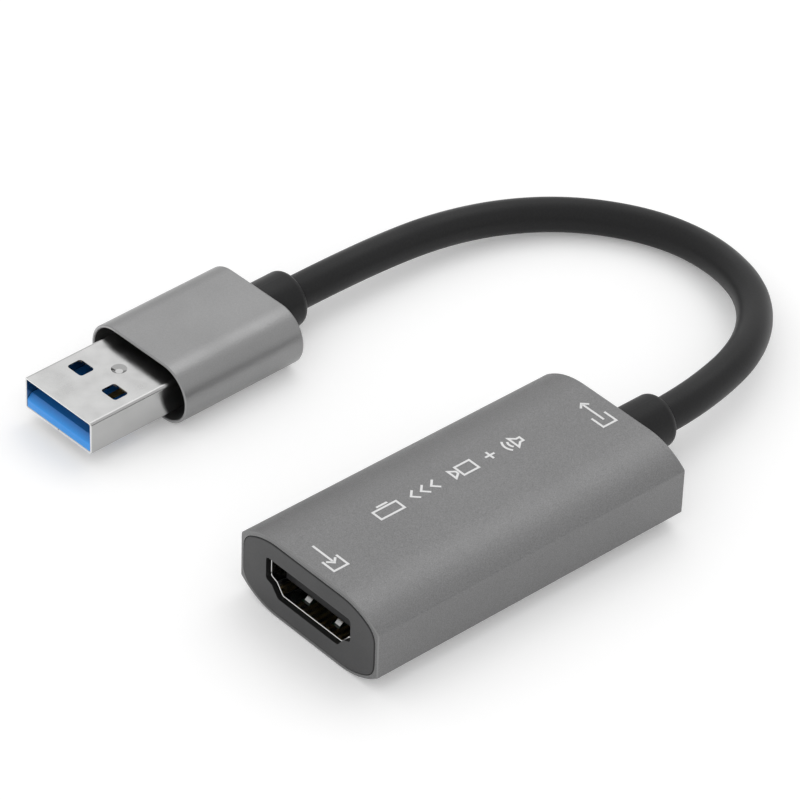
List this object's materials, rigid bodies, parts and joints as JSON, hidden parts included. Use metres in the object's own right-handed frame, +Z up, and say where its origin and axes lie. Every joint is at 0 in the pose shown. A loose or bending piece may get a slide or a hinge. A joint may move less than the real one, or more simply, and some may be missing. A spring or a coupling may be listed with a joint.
{
  "type": "video capture box",
  "caption": "Flat grey metal box with a video socket in one end and a short black cable to a data plug, which turns a video signal into a data stream.",
  "frame": {"origin": "centre of the box's underside, on the surface it lies on", "axes": "+X to the right and +Y towards the cable end of the box, which is its length; the video socket faces -Y; +Z up"},
  "size_m": [0.0663, 0.0857, 0.0106],
  "materials": {
    "case_metal": "fine bead blasted, anodised grey",
    "sleeve_metal": "fine bead blasted, anodised silver grey",
    "bright_steel": "nickel plated sheet",
    "plate_plastic": "moulded, satin dark grey",
    "black_plastic": "moulded, black",
    "blue_plastic": "moulded, blue",
    "cable_rubber": "smooth black jacket",
    "contact_metal": "gold plated spring metal",
    "board_laminate": "green solder mask on glass laminate",
    "chip_resin": "moulded black resin",
    "lead_metal": "tinned",
    "can_metal": "stamped can",
    "ferrite": "pressed dark grey",
    "ceramic": "fired tan ceramic",
    "resistor_body": "glazed black",
    "wire_plastic": "smooth coloured insulation",
    "solder": "bright solder"
  },
  "bodies": {
    "root": {"housing": "case_metal", "front_plate": "plate_plastic", "rear_plate": "plate_plastic", "socket_shell": "bright_steel", "socket_insulator": "black_plastic", "socket_upper_contacts": "contact_metal", "socket_lower_contacts": "contact_metal", "main_board": "board_laminate", "capture_chip": "chip_resin", "capture_chip_leads": "lead_metal", "memory_chip": "chip_resin", "memory_chip_leads": "lead_metal", "clock_crystal": "can_metal", "voltage_regulator": "chip_resin", "power_inductor": "ferrite", "ceramic_capacitors": "ceramic", "chip_resistors": "resistor_body", "surge_protectors": "chip_resin", "board_wires": "wire_plastic", "board_solder_joints": "solder", "box_crimp_ring": "lead_metal", "box_strain_relief": "cable_rubber", "cable_jacket": "cable_rubber", "plug_strain_relief": "cable_rubber", "plug_crimp_ring": "lead_metal", "plug_wires": "wire_plastic", "plug_solder_joints": "solder", "plug_core": "black_plastic", "plug_sleeve": "sleeve_metal", "plug_shell": "bright_steel", "plug_insulator": "blue_plastic", "plug_flat_contacts": "contact_metal", "plug_spring_contacts": "contact_metal"}
  },
  "joints": []
}
